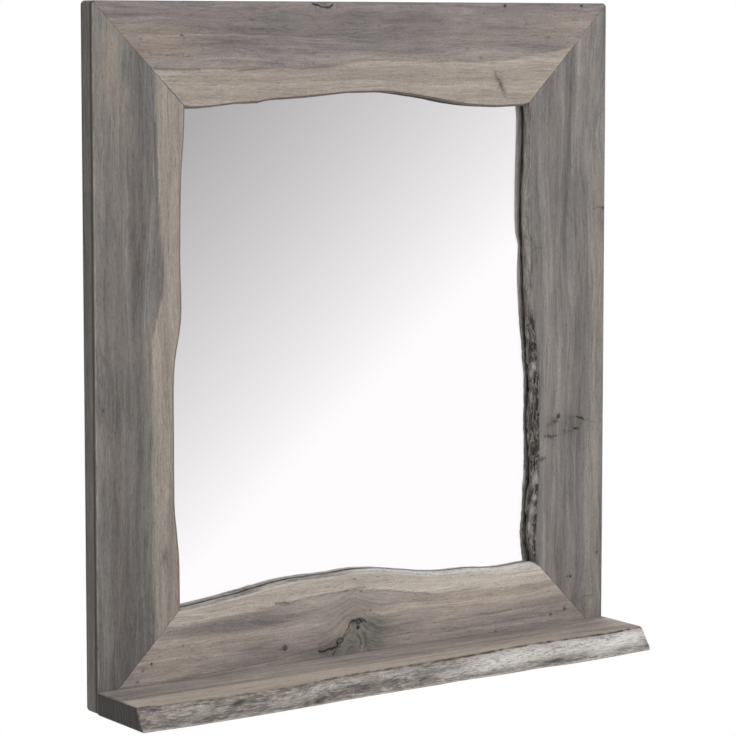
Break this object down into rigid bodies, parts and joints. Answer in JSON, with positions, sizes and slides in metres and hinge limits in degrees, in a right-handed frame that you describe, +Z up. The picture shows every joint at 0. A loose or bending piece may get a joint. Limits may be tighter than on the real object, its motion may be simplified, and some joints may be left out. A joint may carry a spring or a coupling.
{
  "type": "wall mirror with shelf",
  "caption": "Rectangular wall mirror in a mitred frame of live-edge grey-stained hardwood boards, with a live-edge shelf board across its foot.",
  "frame": {"origin": "on the flat back of the top rail, at mid-width, level with the two keyhole hangers, 45 mm below the top of the frame", "axes": "+Z up, +Y into the wall that it hangs on, so the mirror faces -Y and +X is to the viewer's right"},
  "size_m": [0.7, 0.1249, 0.765],
  "materials": {
    "frame_wood": "grey-brown stained hardwood with paler sapwood along the live edge, matt",
    "shelf_wood": "grey-brown stained hardwood, rough brushed live front edge, matt",
    "silvered_glass": "silvered float glass",
    "panel_board": "hardboard, smooth side out",
    "joint_wood": "plain beech",
    "zinc_steel": "zinc plated",
    "black_steel": "black phosphated"
  },
  "bodies": {
    "root": {"left_stile": "frame_wood", "top_rail": "frame_wood", "right_stile": "frame_wood", "bottom_rail": "frame_wood", "shelf_board": "shelf_wood", "mirror_pane": "silvered_glass", "back_panel": "panel_board", "mitre_biscuit_top_left": "joint_wood", "mitre_biscuit_top_right": "joint_wood", "mitre_biscuit_bottom_left": "joint_wood", "mitre_biscuit_bottom_right": "joint_wood", "shelf_dowel_1": "joint_wood", "shelf_dowel_2": "joint_wood", "shelf_dowel_3": "joint_wood", "shelf_screw_1": "black_steel", "shelf_screw_2": "black_steel", "shelf_screw_3": "black_steel", "shelf_screw_4": "black_steel", "keyhole_hanger_left": "zinc_steel", "keyhole_hanger_right": "zinc_steel", "hanger_screw_left_1": "zinc_steel", "hanger_screw_left_2": "zinc_steel", "hanger_screw_right_1": "zinc_steel", "hanger_screw_right_2": "zinc_steel", "panel_screw_1": "black_steel", "panel_screw_2": "black_steel", "panel_screw_3": "black_steel", "panel_screw_4": "black_steel", "panel_screw_5": "black_steel", "panel_screw_6": "black_steel", "panel_screw_7": "black_steel", "panel_screw_8": "black_steel", "panel_screw_9": "black_steel", "panel_screw_10": "black_steel"}
  },
  "joints": []
}
